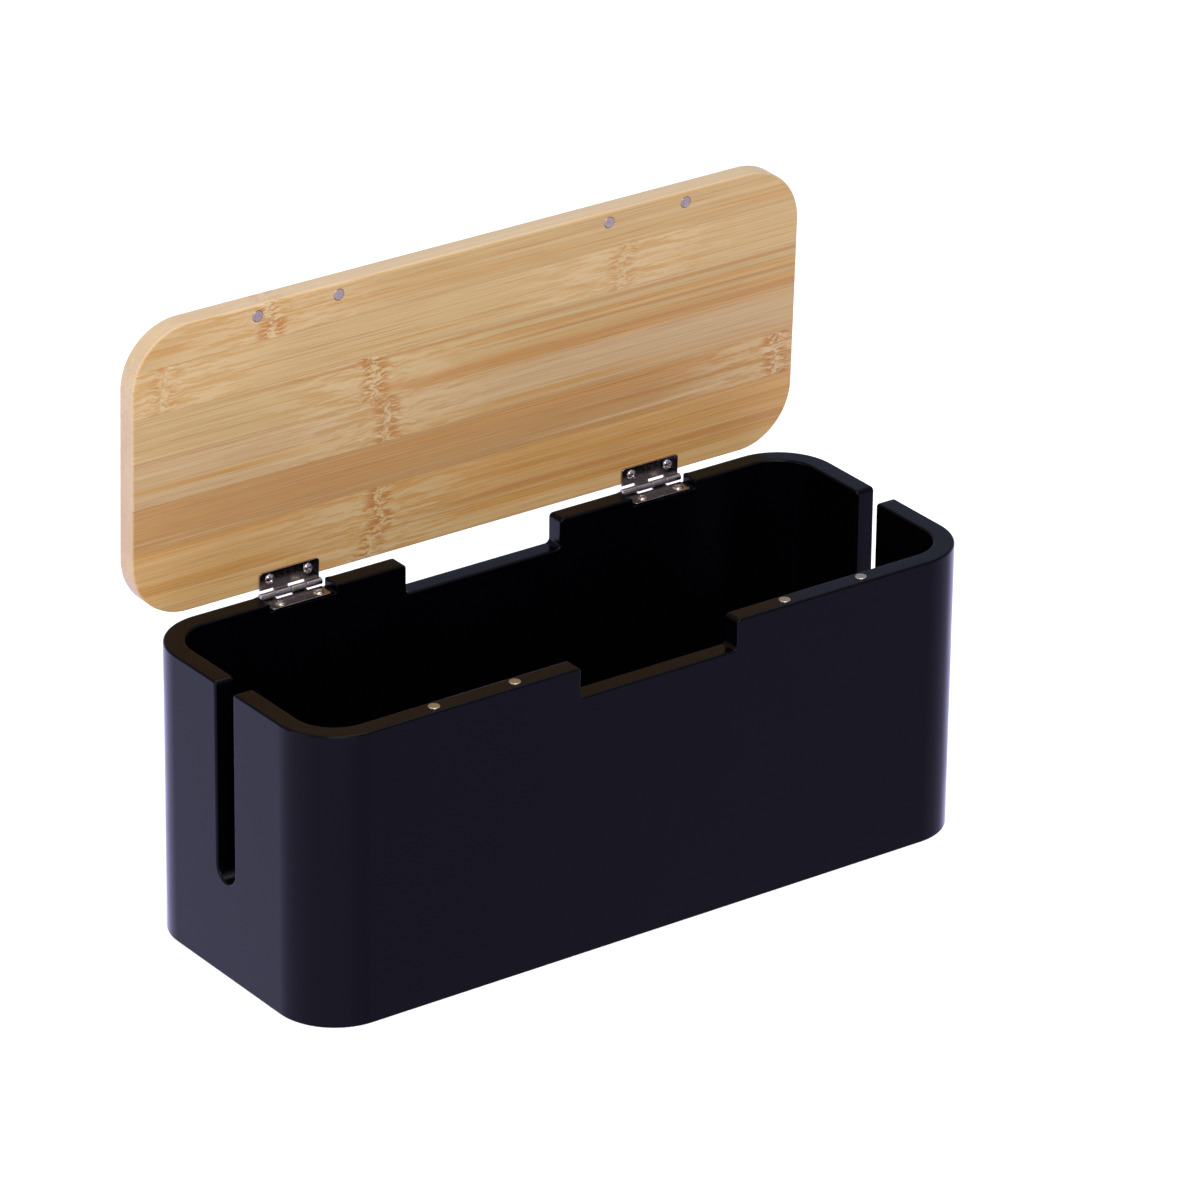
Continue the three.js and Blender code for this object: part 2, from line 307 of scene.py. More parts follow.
def opening(middle, width, floor, mouth_corner, floor_corner, rounding):
    """A rim opening's points from left to right.

    Each is (along, height, normal along, normal up, rounding).
    """
    side = width / 2
    left, right = middle - side, middle + side
    top = HEIGHT - mouth_corner
    low = floor + floor_corner
    points = []
    for u, z, angle in arc(left - mouth_corner, top, mouth_corner, 90, 0, OPENING_STEPS):
        points.append((u, z, math.cos(angle), math.sin(angle), rounding))
    for u, z, angle in arc(left + floor_corner, low, floor_corner, 180, 270, OPENING_STEPS):
        points.append((u, z, -math.cos(angle), -math.sin(angle), rounding))
    for u, z, angle in arc(right - floor_corner, low, floor_corner, 270, 360, OPENING_STEPS):
        points.append((u, z, -math.cos(angle), -math.sin(angle), rounding))
    for u, z, angle in arc(right + mouth_corner, top, mouth_corner, 180, 90, OPENING_STEPS):
        points.append((u, z, math.cos(angle), math.sin(angle), rounding))
    if rounding < RIM_ROUND:
        first, last = points[0][0] - 2 * RIM_ROUND, points[-1][0] + 2 * RIM_ROUND
        points = [(first, HEIGHT, 0, 1, RIM_ROUND), *points, (last, HEIGHT, 0, 1, RIM_ROUND)]
    return points


def wall_sides():
    """Each straight wall: where it starts, the way along it, its length, and its openings."""
    length = SHELL_HIGH.x - SHELL_LOW.x
    depth = SHELL_HIGH.y - SHELL_LOW.y
    floor = HEIGHT - NOTCH_DEPTH
    recess_floor = HEIGHT - RECESS_DEPTH

    def notch(middle):
        return opening(middle, NOTCH_WIDTH, floor, NOTCH_CORNER, NOTCH_CORNER, RIM_ROUND)

    def slot(middle):
        return opening(middle, SLOT_WIDTH, SLOT_BOTTOM, NOTCH_CORNER, SLOT_WIDTH / 2, RIM_ROUND)

    def recess(middle):
        corners = (RECESS_MOUTH_CORNER, RECESS_FLOOR_CORNER)
        return opening(middle, RECESS_LENGTH, recess_floor, *corners, RECESS_ROUND)

    front = [notch(length / 2 + FRONT_NOTCH_X)]
    rear = [recess(length / 2 - x) for x in HINGE_XS[::-1]]
    rear.insert(1, notch(length / 2 - REAR_NOTCH_X))
    return [
        (Vector((SHELL_LOW.x, SHELL_LOW.y)), Vector((1, 0)), length, front),
        (Vector((SHELL_HIGH.x, SHELL_LOW.y)), Vector((0, 1)), depth, [slot(depth / 2 + SLOT_Y)]),
        (Vector((SHELL_HIGH.x, SHELL_HIGH.y)), Vector((-1, 0)), length, rear),
        (Vector((SHELL_LOW.x, SHELL_HIGH.y)), Vector((0, -1)), depth, [slot(depth / 2 - SLOT_Y)]),
    ]


def wall_section(rounding):
    """The section of the rim from outside to inside, as (depth in, distance down)."""
    outer = []
    for _, _, angle in arc(0, 0, 1, 0, 90, ROUNDING_STEPS):
        outer.append((rounding * (1 - math.cos(angle)), rounding * (1 - math.sin(angle))))
    return outer + [(WALL - into, below) for into, below in outer[::-1]]


def body_shell():
    """The black wall, drilled for its magnets and screws."""
    solid = bmesh.new()
    rim = []
    foot = {}

    def add_station(point, along, u, z, normal_u, normal_z, rounding):
        out = Vector((along.y, -along.x))
        row = []
        for into, below in wall_section(rounding):
            plan = point + along * (u - normal_u * below) - out * into
            row.append(solid.verts.new((plan.x, plan.y, z - normal_z * below)))
        rim.append(row)

    def add_foot(point, out):
        row = []
        for into, below in wall_section(UNDERSIDE_ROUND):
            plan = point - out * into
            row.append(solid.verts.new((plan.x, plan.y, below)))
        foot[len(rim) - 1] = row

    for start, along, length, openings in wall_sides():
        out = Vector((along.y, -along.x))
        for points in openings:
            for u, z, normal_u, normal_z, rounding in points:
                add_station(start, along, u, z, normal_u, normal_z, rounding)
        centre = start + along * (length - CORNER_RADIUS) - out * CORNER_RADIUS
        first = math.degrees(math.atan2(out.y, out.x))
        for x, y, angle in arc(centre.x, centre.y, CORNER_RADIUS, first, first + 90, CORNER_STEPS):
            facing = Vector((math.cos(angle), math.sin(angle)))
            add_station(Vector((x, y)), Vector((-facing.y, facing.x)), 0, HEIGHT, 0, 1, RIM_ROUND)
            add_foot(Vector((x, y)), facing)

    count = len(rim)
    for i in range(count):
        here, there = rim[i], rim[(i + 1) % count]
        for k in range(len(here) - 1):
            solid.faces.new([here[k], there[k], there[k + 1], here[k + 1]])
    feet = sorted(foot)
    for here, there in zip(feet, feet[1:] + [feet[0] + count]):
        near, far = foot[here], foot[there % count]
        for k in range(len(near) - 1):
            solid.faces.new([near[k], far[k], far[k + 1], near[k + 1]])
        for k in (0, -1):
            top = [rim[i % count][k] for i in range(here, there + 1)]
            solid.faces.new([near[k], far[k], *top[::-1]])

    shell = mesh_object("black_body", solid)
    cutter = bmesh.new()
    for i in MAGNETS:
        low, high = box_mm(f"rim_magnet_{i}")
        pocket(cutter, (low + high) / 2, (high.x - low.x) / 2, low.z - DRILL_SPARE, HEIGHT)
    tip, _ = box_mm("left_hinge_body_screw_1")
    wide = SHANK_RADIUS + FIT
    drilling = [[0, tip.z - DRILL_SPARE], [wide, tip.z], [wide, HEIGHT], [0, HEIGHT]]
    for x in SCREW_XS:
        turned(cutter, drilling, Vector((x, AXIS.y / MM - SCREW_FROM_AXIS, 0)))
    cut(shell, mesh_object("cutter", cutter))
    return shell


def pocket(solid, centre, radius, floor, face, up=1):
    """Adds the cutter for a magnet's pocket, its mouth eased where it meets the wood's face."""
    wide = radius + MAGNET_FIT
    mouth = wide + POCKET_EASE
    profile = [[0, floor], [wide, floor], [wide, face - up * POCKET_EASE]]
    profile += [[mouth, face], [mouth, face + up], [0, face + up]]
    turned(solid, profile, Vector((centre.x, centre.y, 0)))


# ---- Hinges ------------------------------------------------------------------------------------
# A leaf is drawn lying down about its own axis: the barrel runs along X, the plate reaches out
# along +Y below it, and its wood side faces -Z. Both leaves of a hinge are the same piece, turned
# to face each other. It is a sheet: its middle surface is drawn, then thickened.


def bezier(a, b, c, d):
    """Points of a curve from a to d that sets out towards b and arrives from c."""
    points = []
    for i in range(BEND_STEPS + 1):
        t = i / BEND_STEPS
        s = 1 - t
        points.append(a * s**3 + b * 3 * s * s * t + c * 3 * s * t * t + d * t**3)
    return points


def rolled_line():
    """The middle line of a knuckle: out of the plate, up to the barrel and once round the pin."""
    middle = LEAF_FACE + LEAF_THICKNESS / 2
    radius = BARREL_RADIUS - LEAF_THICKNESS / 2
    start, end = -100, -390  # degrees round the pin
    first = math.radians(start)
    joins = Vector((radius * math.cos(first), radius * math.sin(first)))
    back = Vector((-math.sin(first), math.cos(first)))
    leaves = Vector((BARREL_TO_PLATE, -middle))
    line = bezier(leaves, leaves - Vector((0.8, 0)), joins + back * 0.9, joins)
    line += [Vector((y, z)) for y, z, _ in arc(0, 0, radius, start, end, BARREL_STEPS)[1:]]
    return line


def hinge_leaf(name):
    """A plate with two rolled knuckles and two countersunk holes."""
    solid = bmesh.new()
    middle = LEAF_FACE + LEAF_THICKNESS / 2
    half = HINGE_LENGTH / 2
    pitch = HINGE_LENGTH / 4
    clear = KNUCKLE_GAP / 2
    low, high = -half + LEAF_SIDE_SET_IN, half
    far = LEAF_REACH - LEAF_CORNER
    knuckles = [(-pitch + clear, -clear), (pitch + clear, high)]
    corners = arc(high - LEAF_CORNER, far, LEAF_CORNER, 0, 90, OPENING_STEPS)
    corners += arc(low + LEAF_CORNER, far, LEAF_CORNER, 90, 180, OPENING_STEPS)
    outline = [solid.verts.new((x, y, -middle)) for x, y, _ in corners]
    outline.append(solid.verts.new((low, BARREL_TO_PLATE, -middle)))
    for start, end in knuckles:
        rows = []
        for y, z in rolled_line():
            rows.append([solid.verts.new((start, y, z)), solid.verts.new((end, y, z))])
        outline += rows[0]
        for row, following in zip(rows, rows[1:]):
            solid.faces.new([row[0], row[1], following[1], following[0]])
    solid.faces.new(outline)
    leaf = mesh_object(name, solid)
    thicken = leaf.modifiers.new("sheet", "SOLIDIFY")
    thicken.thickness = LEAF_THICKNESS
    thicken.offset = 0
    thicken.use_even_offset = True
    apply_modifiers(leaf)
    cutter = bmesh.new()
    head = HEAD_RADIUS + FIT
    shank = SHANK_RADIUS + FIT
    below = -LEAF_FACE - LEAF_THICKNESS
    profile = [[0, below - 1], [shank, below - 1], [shank, below]]
    profile += [[head, -LEAF_FACE], [head, 0], [0, 0]]
    for x in SCREW_OFFSETS:
        turned(cutter, profile, Vector((x, SCREW_FROM_AXIS, 0)))
    cut(leaf, mesh_object("cutter", cutter))
    round_edges(leaf, LEAF_ROUND)
    return leaf


def hinge_pin(name):
    """A straight pin with domed ends, along X."""
    solid = bmesh.new()
    low, high = box_mm("left_hinge_pin")
    half = (high.x - low.x) / 2
    profile = [[0, -half]]
    for radius_share, dome_share in ((0.6, 0.2), (0.9, 0.6), (1, 1)):
        profile.append([PIN_RADIUS * radius_share, PIN_DOME * dome_share - half])
    turned(solid, profile + [[radius, -height] for radius, height in profile[::-1]])
    bmesh.ops.rotate(solid, verts=solid.verts, matrix=Matrix.Rotation(math.pi / 2, 3, "Y"))
    return mesh_object(name, solid)


# ---- Screws ------------------------------------------------------------------------------------


def cross_cutter(top):
    """A cross recess that narrows towards its floor."""
    solid = bmesh.new()
    rings = []
    for z, long_share, wide_share in ((top + 0.5, 1.15, 1.08), (top - CROSS_DEPTH, 0.55, 0.78)):
        x, y = CROSS_LENGTH / 2 * long_share, CROSS_WIDTH / 2 * wide_share
        ring = []
        for turn in (0, 90, 180, 270):
            spin = Matrix.Rotation(math.radians(turn), 2)
            for corner in ((x, -y), (x, y), (y, y)):
                ring.append(solid.verts.new((*(spin @ Vector(corner)), z)))
        rings.append(ring)
    upper, lower = rings
    for i in range(len(upper)):
        j = (i + 1) % len(upper)
        solid.faces.new([upper[i], upper[j], lower[j], lower[i]])
    solid.faces.new(upper)
    solid.faces.new(lower)
    return solid


def screw(name, length):
    """An oval-head screw standing on its tip, with z = 0 at the face of the leaf that it holds."""
    solid = bmesh.new()
    profile = [[0, -length], [SHANK_RADIUS, SCREW_TIP - length], [SHANK_RADIUS, -LEAF_THICKNESS]]
    profile += [[HEAD_RADIUS - 0.12, -0.06], [HEAD_RADIUS, 0.02]]
    for i in range(1, DOME_STEPS):
        angle = math.radians(90 * i / DOME_STEPS)
        profile.append([HEAD_RADIUS * math.cos(angle), HEAD_DOME * math.sin(angle)])
    profile.append([0, HEAD_DOME])
    turned(solid, profile)
    made = mesh_object(name, solid)
    cut(made, mesh_object("cutter", cross_cutter(HEAD_DOME)))
    round_edges(made, HEAD_ROUND)
    return made


# ---- Magnets -----------------------------------------------------------------------------------


def magnet(name, node, place):
    """A plated disc with rounded rims."""
    solid = bmesh.new()
    low, high = box_mm(node, place)
    radius = (high.x - low.x) / 2
    centre = (low + high) / 2
    half = (high.z - low.z) / 2
    middle = (radius - MAGNET_ROUND, half - MAGNET_ROUND)
    upper = [[r, z] for r, z, _ in arc(*middle, MAGNET_ROUND, 0, 90, ROUNDING_STEPS)]
    flat = [[0.8 * radius, half]]
    profile = [[0, -half], *[[r, -z] for r, z in (upper + flat)[::-1]], *upper, *flat, [0, half]]
    turned(solid, profile, centre)
    return mesh_object(name, solid)


# ---- Materials ---------------------------------------------------------------------------------


def srgb(red, green, blue):
    """A colour given as 0 to 255 display values, as the linear colour that shaders take."""
    linear = []
    for value in (red, green, blue):
        share = value / 255
        linear.append(share / 12.92 if share <= 0.04045 else ((share + 0.055) / 1.055) ** 2.4)
    return (*linear, 1.0)


class Nodes:
    """A node tree built by short calls, which take numbers or other nodes' outputs."""

    def __init__(self, tree):
        self.tree = tree

    def feed(self, socket, value):
        if isinstance(value, bpy.types.NodeSocket):
            self.tree.links.new(value, socket)
        else:
            socket.default_value = value

    def add(self, kind, inputs, **settings):
        node = self.tree.nodes.new(kind)
        for name, value in settings.items():
            setattr(node, name, value)
        for name, value in inputs.items():
            self.feed(node.inputs[name], value)
        return node

    def math(self, operation, *values):
        return self.add("ShaderNodeMath", dict(enumerate(values)), operation=operation).outputs[0]

    def stretch(self, vector, scale):
        inputs = {0: vector, 1: scale}
        return self.add("ShaderNodeVectorMath", inputs, operation="MULTIPLY").outputs[0]

    def noise(self, vector, scale=1.0, detail=2.0, roughness=0.5, distortion=0.0):
        inputs = {"Vector": vector, "Scale": scale, "Detail": detail, "Roughness": roughness}
        return self.add("ShaderNodeTexNoise", {**inputs, "Distortion": distortion}).outputs[0]

    def between(self, value, low, high, to_low=0.0, to_high=1.0):
        """Carries low..high smoothly to to_low..to_high, and holds it beyond."""
        inputs = {0: value, 1: low, 2: high, 3: to_low, 4: to_high}
        return self.add("ShaderNodeMapRange", inputs, interpolation_type="SMOOTHSTEP").outputs[0]

    def mix(self, share, a, b):
        inputs = {0: share, 6: a, 7: b}
        return self.add("ShaderNodeMix", inputs, data_type="RGBA", clamp_factor=True).outputs[2]

    def steps(self, value, colours):
        """Takes 0..1 in equal steps to the colours given."""
        ramp = self.add("ShaderNodeValToRGB", {0: value})
        ramp.color_ramp.interpolation = "CONSTANT"
        for i, colour in enumerate(colours):
            at = i / len(colours)
            stops = ramp.color_ramp.elements
            stop = stops[i] if i < 2 else stops.new(at)
            stop.position = at
            stop.color = colour
        return ramp.outputs[0]

    def edges(self, radius):
        """1 on edges that stand out or in, 0 on flat faces."""
        soft = self.add("ShaderNodeBevel", {"Radius": radius}, samples=6)
        face = self.add("ShaderNodeNewGeometry", {})
        inputs = {0: soft.outputs[0], 1: face.outputs["Normal"]}
        turn = self.add("ShaderNodeVectorMath", inputs, operation="DOT_PRODUCT").outputs["Value"]
        return self.between(turn, 0.995, 0.93)

    def bump(self, height, distance, strength):
        inputs = {"Height": height, "Distance": distance, "Strength": strength}
        return self.add("ShaderNodeBump", inputs).outputs[0]


def new_look(slot):
    """A material, its nodes, its shader, and the millimetres that the piece was drawn in."""
    material = bpy.data.materials.new(f"{slot}_look")
    material.use_nodes = True
    nodes = Nodes(material.node_tree)
    shader = material.node_tree.nodes["Principled BSDF"]
    drawn = nodes.add("ShaderNodeAttribute", {}, attribute_name=DRAWN).outputs["Vector"]
    return material, nodes, shader, drawn


def black_lacquer():
    """Satin black lacquer: faint orange peel, a few hairline rubs, and edges gone slightly pale."""
    material, nodes, shader, place = new_look("body_black")
    peel = nodes.noise(place, 0.55, 3.0, 0.55)
    cloud = nodes.noise(place, 0.03, 3.0)
    rubs = nodes.noise(nodes.stretch(place, (0.05, 0.05, 2.2)), 1.0, 4.0, 0.65, 0.4)
    rub = nodes.between(rubs, 0.64, 0.74)
    patches = nodes.between(nodes.noise(place, 0.35, 4.0, 0.7), 0.42, 0.66)
    worn = nodes.math("MULTIPLY", nodes.edges(0.0009), patches)
    fresh, pale = (0.0006, 0.0005, 0.0012, 1), srgb(46, 43, 47)
    colour = nodes.mix(nodes.math("MULTIPLY", worn, 0.4), fresh, pale)
    nodes.feed(shader.inputs["Base Color"], colour)
    roughness = nodes.between(cloud, 0.3, 0.7, 0.2, 0.27)
    roughness = nodes.math("MULTIPLY_ADD", rub, 0.05, roughness)
    nodes.feed(shader.inputs["Roughness"], nodes.math("MULTIPLY_ADD", worn, 0.15, roughness))
    nodes.feed(shader.inputs["Normal"], nodes.bump(peel, 0.00002, 0.5))
    shader.inputs["Specular IOR Level"].default_value = 0.075
    return material


# Bamboo strips: their width, where the first one starts from the lid's rear edge, and an X past the
# board's end, for a strip that has only one node
STRIP_WIDTH = 20.0
FIRST_STRIP = -9.0
NO_NODE = 400

# Each strip from the hinge to the front: its tone, where its two nodes cross it along X, and how
# dark they are
STRIPS = [
    (srgb(207, 164, 107), (-50, NO_NODE), 0.9),
    (srgb(201, 157, 100), (-46, NO_NODE), 1.0),
    (srgb(184, 141, 93), (155, NO_NODE), 1.0),
    (srgb(192, 161, 120), (-43, NO_NODE), 0.85),
    (srgb(190, 160, 112), (-50, NO_NODE), 1.0),
    (srgb(197, 166, 118), (-150, 75), 0.55),
    (srgb(192, 159, 110), (-100, NO_NODE), 1.0),
]

# Amber streaks of the fibres: distance from the hinge-side edge, half width, and where along X
# they set in over the next STREAK_ONSET
STREAK_ONSET = 70
STREAKS = [(14, 2.4, -60), (40, 1.0, 20), (74, 2.4, -80), (81, 1.0, -30), (89, 1.2, -140)]


def bamboo():
    """Bamboo board: strips of unlike tone, long fibres, and knotted nodes across them."""
    material, nodes, shader, place = new_look("bamboo")
    along, across, through = nodes.add("ShaderNodeSeparateXYZ", {0: place}).outputs
    from_hinge = nodes.math("SUBTRACT", LID_HIGH.y, across)
    strip = nodes.math("DIVIDE", nodes.math("SUBTRACT", from_hinge, FIRST_STRIP), STRIP_WIDTH)
    index = nodes.math("FLOOR", strip)
    share = nodes.math("DIVIDE", strip, float(len(STRIPS)))
    tone = nodes.steps(share, [tone for tone, _, _ in STRIPS])
    strength = nodes.steps(share, [(dark, dark, dark, 1.0) for _, _, dark in STRIPS])

    # Distance past the strip's nearer node, whose line wanders and is ragged from fibre to fibre
    lane = nodes.add("ShaderNodeCombineXYZ", {0: index, 1: across}).outputs[0]
    wander = nodes.math("MULTIPLY_ADD", nodes.noise(lane, 0.14, 1.0), 12.0, -6.0)
    ragged = nodes.math("MULTIPLY_ADD", nodes.noise(lane, 1.0, 1.0), 6.0, -3.0)
    wander = nodes.math("ADD", wander, ragged)
    reach = 500.0  # codes an X of -reach..reach as a grey of 0..1
    offsets = []
    for k in (0, 1):
        coded = [((xs[k] + reach) / (2 * reach),) * 3 + (1.0,) for _, xs, _ in STRIPS]
        at = nodes.math("MULTIPLY_ADD", nodes.steps(share, coded), 2 * reach, -reach)
        offsets.append(nodes.math("ADD", nodes.math("SUBTRACT", along, at), wander))
    distances = [nodes.math("ABSOLUTE", offset) for offset in offsets]
    near = nodes.math("MINIMUM", *distances)
    first_is_nearer = nodes.math("LESS_THAN", *distances)
    apart = nodes.math("SUBTRACT", *offsets)
    past = nodes.math("MULTIPLY_ADD", first_is_nearer, apart, offsets[1])
    halo = nodes.between(near, 3.0, 26.0, 1.0, 0.0)
    cloudy = nodes.between(near, 15.0, 75.0, 0.75, 0.0)

    # Fibres run along X and waver near a node. They change where they pass the strip's first node
    waver = nodes.noise(nodes.stretch(place, (0.14, 0.3, 0.3)), 1.0, 2.0)
    waver = nodes.math("MULTIPLY", nodes.math("MULTIPLY_ADD", waver, 5.0, -2.5), halo)
    fibre_y = nodes.math("ADD", across, waver)
    beyond = nodes.math("GREATER_THAN", offsets[0], 0.0)
    key = nodes.math("MULTIPLY_ADD", index, 61.0, nodes.math("MULTIPLY", beyond, 17.0))
    grain_inputs = {0: along, 1: nodes.math("ADD", fibre_y, key), 2: through}
    grain = nodes.add("ShaderNodeCombineXYZ", grain_inputs).outputs[0]
    bands = nodes.noise(nodes.stretch(grain, (0.0022, 0.22, 0.22)), 1.0, 2.0, 0.6)
    lines = nodes.noise(nodes.stretch(grain, (0.005, 1.3, 1.3)), 1.0, 3.0, 0.65)
    hairs = nodes.noise(nodes.stretch(grain, (0.02, 3.4, 3.4)), 1.0, 2.0, 0.6)
    clouds = nodes.noise(nodes.stretch(grain, (0.045, 0.6, 0.6)), 1.0, 4.0, 0.65, 0.4)

    gold, amber, brown = srgb(190, 138, 69), srgb(174, 113, 49), srgb(141, 89, 46)
    pale = srgb(209, 181, 139)
    colour = nodes.mix(nodes.between(bands, 0.5, 0.68, 0.0, 0.75), tone, gold)
    colour = nodes.mix(nodes.between(bands, 0.46, 0.3, 0.0, 0.6), colour, pale)
    colour = nodes.mix(nodes.between(lines, 0.54, 0.72, 0.0, 0.6), colour, amber)
    colour = nodes.mix(nodes.between(lines, 0.46, 0.28, 0.0, 0.5), colour, pale)
    colour = nodes.mix(nodes.between(hairs, 0.52, 0.7, 0.0, 0.5), colour, brown)
    mottle = nodes.mix(nodes.between(clouds, 0.42, 0.6), pale, nodes.mix(0.65, tone, gold))
    colour = nodes.mix(nodes.math("MULTIPLY", cloudy, 0.85), colour, mottle)
    for from_edge, half_width, start in STREAKS:
        off_line = nodes.math("ABSOLUTE", nodes.math("SUBTRACT", from_hinge, from_edge))
        off_line = nodes.math("MULTIPLY_ADD", lines, -half_width, off_line)
        streak = nodes.between(off_line, half_width * 0.5, -half_width * 0.3)
        streak = nodes.math("MULTIPLY", streak, nodes.between(along, start, start + STREAK_ONSET))
        colour = nodes.mix(nodes.math("MULTIPLY", streak, 0.55), colour, amber)

    # Nodes: amber dashes on both sides of a narrow pale line crossed by thin brown knots
    dashes = nodes.noise(nodes.stretch(grain, (0.09, 0.9, 0.9)), 1.0, 1.0, 0.5)
    knots = nodes.noise(nodes.stretch(grain, (0.3, 0.8, 0.8)), 1.0, 1.0, 0.5, 0.6)
    starts, stops = nodes.between(past, -9.0, -3.5), nodes.between(past, -1.4, -2.0)
    before = nodes.math("MULTIPLY", starts, stops)
    starts, stops = nodes.between(past, 1.6, 2.2), nodes.between(past, 9.0, 4.0)
    after = nodes.math("MULTIPLY", starts, stops)
    beside = nodes.math("MULTIPLY", nodes.math("MAXIMUM", before, after), strength)
    core = nodes.math("MULTIPLY", nodes.between(near, 1.6, 3.0, 1.0, 0.0), strength)
    dash = nodes.math("MULTIPLY", beside, nodes.between(dashes, 0.45, 0.54))
    gap = nodes.math("MULTIPLY", beside, nodes.between(dashes, 0.46, 0.38))
    knot = nodes.math("MULTIPLY", core, nodes.between(knots, 0.51, 0.58))
    fleck = nodes.math("MULTIPLY", core, nodes.between(knots, 0.51, 0.44))
    colour = nodes.mix(nodes.math("MULTIPLY", gap, 0.6), colour, pale)
    colour = nodes.mix(nodes.math("MULTIPLY", fleck, 0.75), colour, pale)
    colour = nodes.mix(nodes.math("MULTIPLY", dash, 0.8), colour, amber)
    colour = nodes.mix(nodes.math("MULTIPLY", knot, 0.4), colour, brown)

    # Joints between the strips, and the board's sides painted paler all round as a painted
    # highlight of the light from the left
    within = nodes.math("FRACT", strip)
    to_joint = nodes.math("MINIMUM", within, nodes.math("SUBTRACT", 1.0, within))
    joint = nodes.between(to_joint, 0.004, 0.014, 1.0, 0.0)
    colour = nodes.mix(nodes.math("MULTIPLY", joint, 0.3), colour, brown)
    middle = (LID_LOW.z + LID_HIGH.z) / 2
    half = (LID_HIGH.z - LID_LOW.z) / 2
    from_middle = nodes.math("ABSOLUTE", nodes.math("SUBTRACT", through, middle))
    # The board's sides are painted paler here: a painted highlight standing in for the light from
    # the left
    side = nodes.between(from_middle, half - 0.1, half - 0.6)
    colour = nodes.mix(nodes.math("MULTIPLY", side, 0.6), colour, srgb(206, 184, 155))
    nodes.feed(shader.inputs["Base Color"], colour)

    relief = nodes.math("MULTIPLY_ADD", joint, -1.2, nodes.math("ADD", lines, hairs))
    relief = nodes.math("MULTIPLY_ADD", knot, -0.2, relief)
    nodes.feed(shader.inputs["Normal"], nodes.bump(relief, 0.00005, 0.5))
    nodes.feed(shader.inputs["Roughness"], nodes.between(lines, 0.3, 0.7, 0.4, 0.52))
    shader.inputs["Specular IOR Level"].default_value = 0.35
    return material


def nickel(slot, colour, dark, roughness, scratch):
    """Plated steel: a little tarnish, smudges, fine scratches, and edges rubbed bright."""
    material, nodes, shader, place = new_look(slot)
    tarnish = nodes.between(nodes.noise(place, 0.35, 4.0, 0.6), 0.42, 0.68)
    edge = nodes.edges(0.00025)
    tone = nodes.mix(nodes.math("MULTIPLY", tarnish, 0.4), colour, dark)
    tone = nodes.mix(nodes.math("MULTIPLY", edge, 0.5), tone, srgb(235, 228, 220))
    nodes.feed(shader.inputs["Base Color"], tone)
    shader.inputs["Metallic"].default_value = 1.0
    smudge = nodes.noise(place, 0.8, 3.0, 0.6)
    dulled = nodes.between(smudge, 0.3, 0.7, roughness, roughness + 0.12)
    nodes.feed(shader.inputs["Roughness"], dulled)
    scratches = nodes.noise(nodes.stretch(place, (0.3, 5.0, 5.0)), 1.0, 2.0, 0.5)
    nodes.feed(shader.inputs["Normal"], nodes.bump(scratches, 0.000004, scratch))
    return material


# ---- Assembly ----------------------------------------------------------------------------------

# Degrees each screw was left turned by
SCREW_TURNS = {
    ("left", "body", 1): 12,
    ("left", "body", 2): 50,
    ("left", "lid", 1): 33,
    ("left", "lid", 2): 68,
    ("right", "body", 1): 75,
    ("right", "body", 2): 25,
    ("right", "lid", 1): 58,
    ("right", "lid", 2): 8,
}


def build_body():
    finish_piece(body_shell(), IN_PLACE, "box", "body_shell", "body_black")
    panel = rounded_slab(PANEL_LOW, PANEL_HIGH, CORNER_RADIUS - WALL - FIT, PANEL_ROUND)
    finish_piece(mesh_object("floor_panel", panel), IN_PLACE, "box", "base_panel", "body_black")


def build_lid():
    board = mesh_object("bamboo_board", rounded_slab(LID_LOW, LID_HIGH, CORNER_RADIUS, LID_ROUND))
    cutter = bmesh.new()
    for i in MAGNETS:
        low, high = box_mm(f"lid_magnet_{i}", LID_PLACE)
        radius = (high.x - low.x) / 2
        pocket(cutter, (low + high) / 2, radius, high.z + DRILL_SPARE, WOOD_FACE, up=-1)
    _, tip = box_mm("left_hinge_lid_screw_1", LID_PLACE)
    wide = SHANK_RADIUS + FIT
    drilling = [[0, 0], [wide, 0], [wide, tip.z], [0, tip.z + DRILL_SPARE]]
    for x in SCREW_XS:
        turned(cutter, drilling, Vector((x, -SCREW_FROM_AXIS, 0)))
    cut(board, mesh_object("cutter", cutter))
    finish_piece(board, LID_PLACE, "lid", "lid_board", "bamboo")


def build_magnets():
    for i in MAGNETS:
        for where, body, place in (("rim", "box", IN_PLACE), ("lid", "lid", LID_PLACE)):
            node = f"{where}_magnet_{i}"
            disc = magnet(f"{where}_disc_{i}", node, place)
            finish_piece(disc, place, body, node, "magnet_nickel")


def build_hinges():
    at_axis = Matrix.Translation(AXIS)
    screw_low, screw_high = box_mm("left_hinge_body_screw_1")
    screw_length = screw_high.z - screw_low.z - HEAD_DOME
    for side, hinge_x in zip(SIDES, HINGE_XS):
        move = Matrix.Translation((hinge_x * MM, 0, 0))
        on_body = at_axis @ move @ Matrix.Rotation(math.pi, 4, "Z")
        on_lid = LID_PLACE @ move @ Matrix.Rotation(math.pi, 4, "X")
        for part, body, place in (("body", "box", on_body), ("lid", "lid", on_lid)):
            leaf = hinge_leaf(f"{side}_{part}_leaf")
            finish_piece(leaf, place, body, f"{side}_hinge_{part}_leaf", "hinge_nickel")
            for number, offset in enumerate(SCREW_OFFSETS, start=1):
                along = -offset if part == "body" else offset
                seat = Matrix.Translation(Vector((along, SCREW_FROM_AXIS, -LEAF_FACE)) * MM)
                turn = Matrix.Rotation(math.radians(SCREW_TURNS[(side, part, number)]), 4, "Z")
                made = screw(f"{side}_{part}_screw_{number}", screw_length)
                node = f"{side}_hinge_{part}_screw_{number}"
                finish_piece(made, place @ seat @ turn, body, node, "screw_nickel")
        pin = hinge_pin(f"{side}_pin")
        finish_piece(pin, at_axis @ move, "box", f"{side}_hinge_pin", "screw_nickel")


